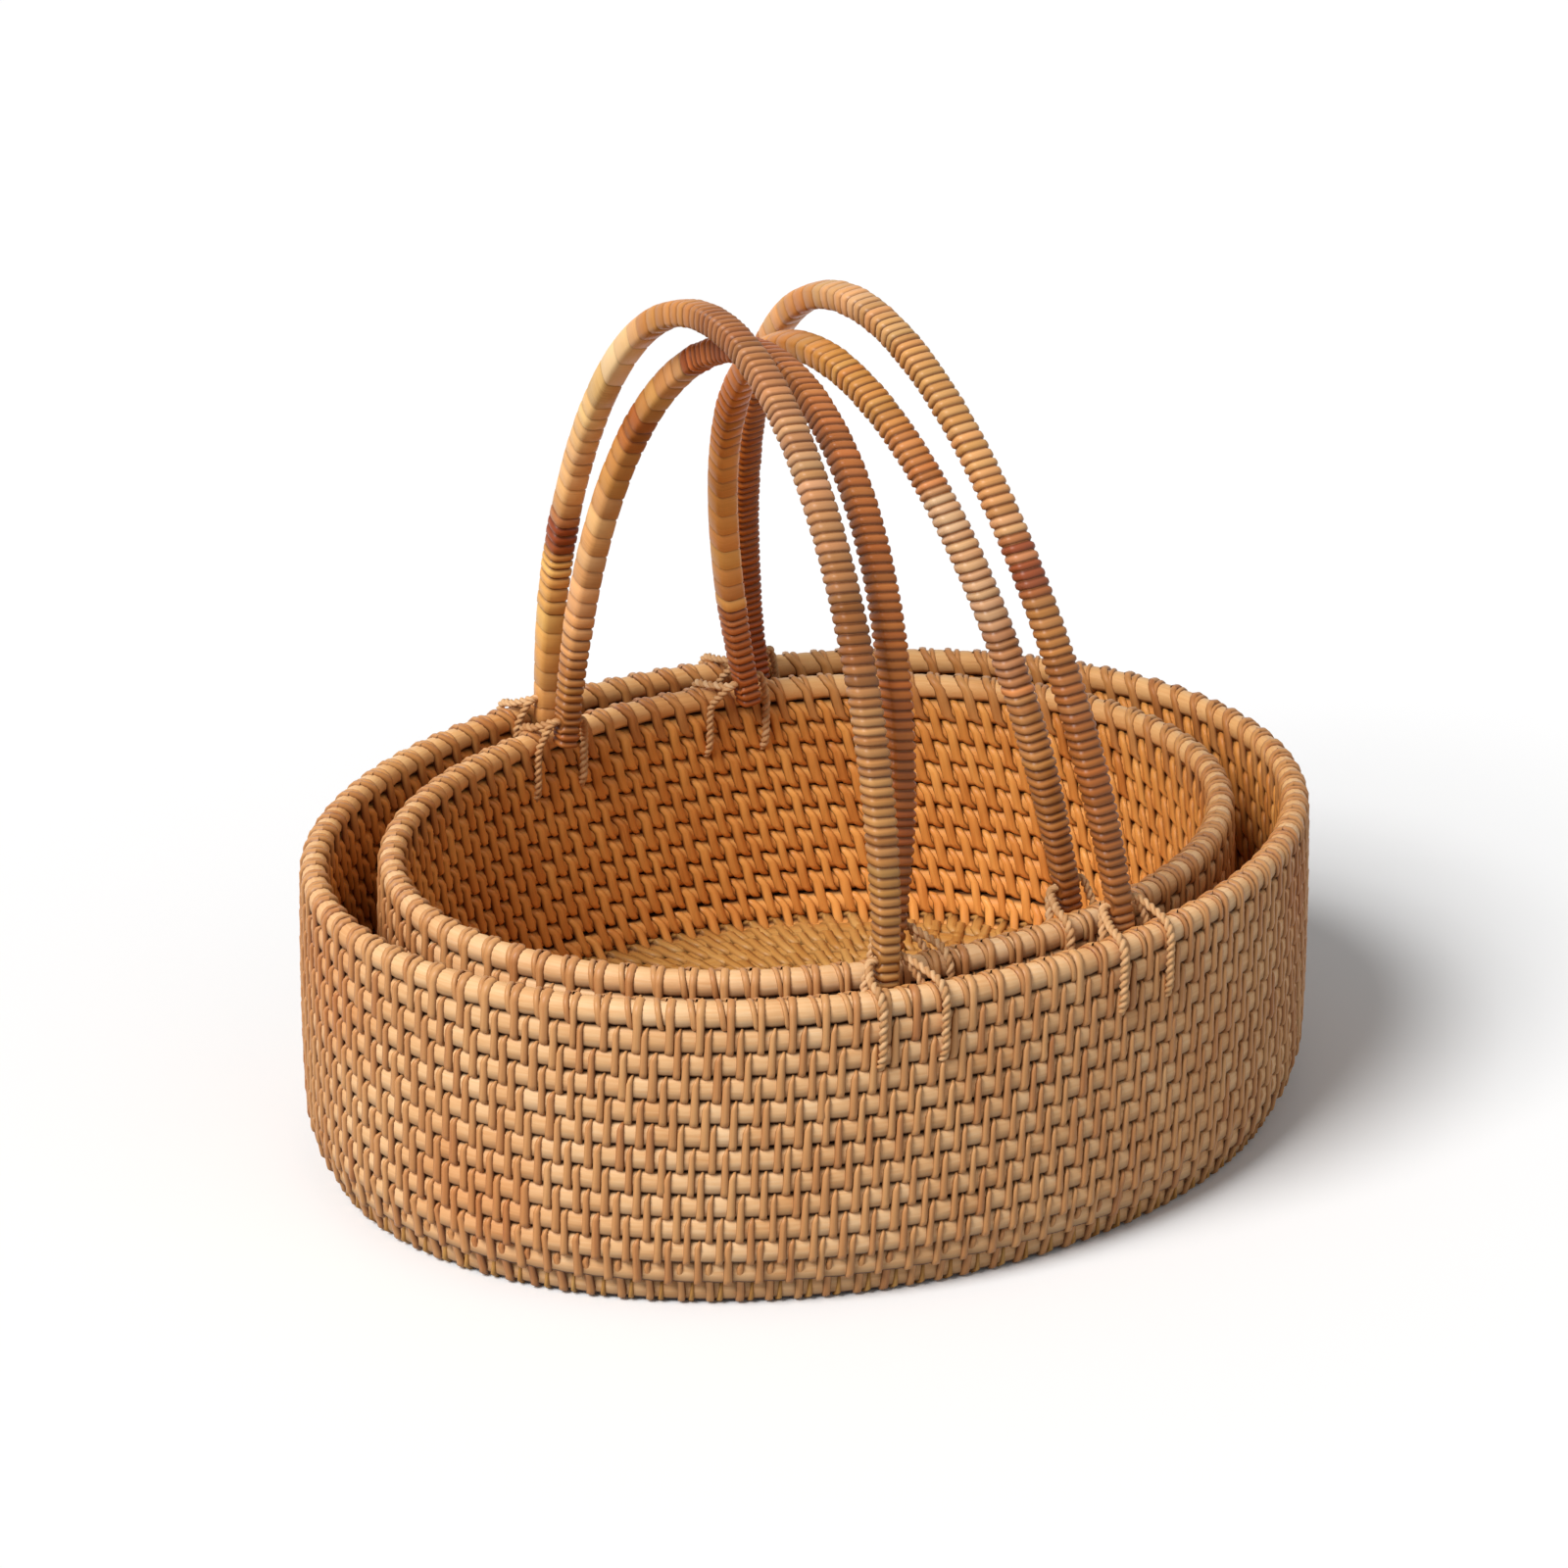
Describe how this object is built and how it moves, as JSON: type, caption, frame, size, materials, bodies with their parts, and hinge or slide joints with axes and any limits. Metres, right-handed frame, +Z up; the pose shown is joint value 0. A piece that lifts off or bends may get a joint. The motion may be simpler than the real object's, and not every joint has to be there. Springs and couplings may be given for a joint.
{
  "type": "nested basket set",
  "caption": "Nested pair of oval coiled-rattan storage baskets, the smaller standing in the larger, each with bound hoop handles tied inside its rim that swing to its ends.",
  "frame": {"origin": "under the middle of the large basket, on the surface that it stands on", "axes": "+X along the ovals' length, +Y across them to the back, +Z up"},
  "size_m": [0.382, 0.3107, 0.3128],
  "materials": {
    "rod": "natural rattan, satin",
    "rim": "natural rattan, satin",
    "base": "natural rattan, satin",
    "pole": "bare cane",
    "large_binding": "glossy cane peel",
    "small_binding": "glossy cane peel",
    "tie": "twisted cane"
  },
  "bodies": {
    "large_basket": {"large_base": "base", "large_course_01": "rod", "large_course_02": "rod", "large_course_03": "rod", "large_course_04": "rod", "large_course_05": "rod", "large_course_06": "rod", "large_course_07": "rod", "large_course_08": "rod", "large_course_09": "rod", "large_course_10": "rod", "large_course_11": "rod", "large_course_12": "rod", "large_rim": "rim", "large_handle_left_tie_front": "tie", "large_handle_left_tie_rear": "tie", "large_handle_right_tie_front": "tie", "large_handle_right_tie_rear": "tie"},
    "small_basket": {"small_base": "base", "small_course_01": "rod", "small_course_02": "rod", "small_course_03": "rod", "small_course_04": "rod", "small_course_05": "rod", "small_course_06": "rod", "small_course_07": "rod", "small_course_08": "rod", "small_course_09": "rod", "small_course_10": "rod", "small_course_11": "rod", "small_rim": "rim", "small_handle_left_tie_front": "tie", "small_handle_left_tie_rear": "tie", "small_handle_right_tie_front": "tie", "small_handle_right_tie_rear": "tie"},
    "large_handle_left": {"large_handle_left_pole": "pole", "large_handle_left_binding": "large_binding"},
    "large_handle_right": {"large_handle_right_pole": "pole", "large_handle_right_binding": "large_binding"},
    "small_handle_left": {"small_handle_left_pole": "pole", "small_handle_left_binding": "small_binding"},
    "small_handle_right": {"small_handle_right_pole": "pole", "small_handle_right_binding": "small_binding"}
  },
  "joints": [
    {"name": "small_basket_lift", "type": "slide", "parent": "large_basket", "child": "small_basket", "axis": [0, 0, 1], "range_m": [0, 0.013]},
    {"name": "large_handle_left_swing", "type": "hinge", "parent": "large_basket", "child": "large_handle_left", "pos_m": [-0.04225, 0.00135, 0.12125], "axis": [-0.0472, -0.9989, 0], "range_deg": [-7, 87.2], "deforming": ["large_handle_left_tie_front", "large_handle_left_tie_rear"]},
    {"name": "large_handle_right_swing", "type": "hinge", "parent": "large_basket", "child": "large_handle_right", "pos_m": [0.049, -0.00087, 0.12125], "axis": [0.0267, 0.9996, 0], "range_deg": [-5, 95.4], "deforming": ["large_handle_right_tie_front", "large_handle_right_tie_rear"]},
    {"name": "small_handle_left_swing", "type": "hinge", "parent": "small_basket", "child": "small_handle_left", "pos_m": [-0.037, -0.0008, 0.12125], "axis": [0.0319, -0.9995, 0], "range_deg": [-1.2, 92], "deforming": ["small_handle_left_tie_front", "small_handle_left_tie_rear"]},
    {"name": "small_handle_right_swing", "type": "hinge", "parent": "small_basket", "child": "small_handle_right", "pos_m": [0.03725, 0.00017, 0.12125], "axis": [-0.0068, 1, 0], "range_deg": [-1.2, 97.5], "deforming": ["small_handle_right_tie_front", "small_handle_right_tie_rear"]}
  ]
}
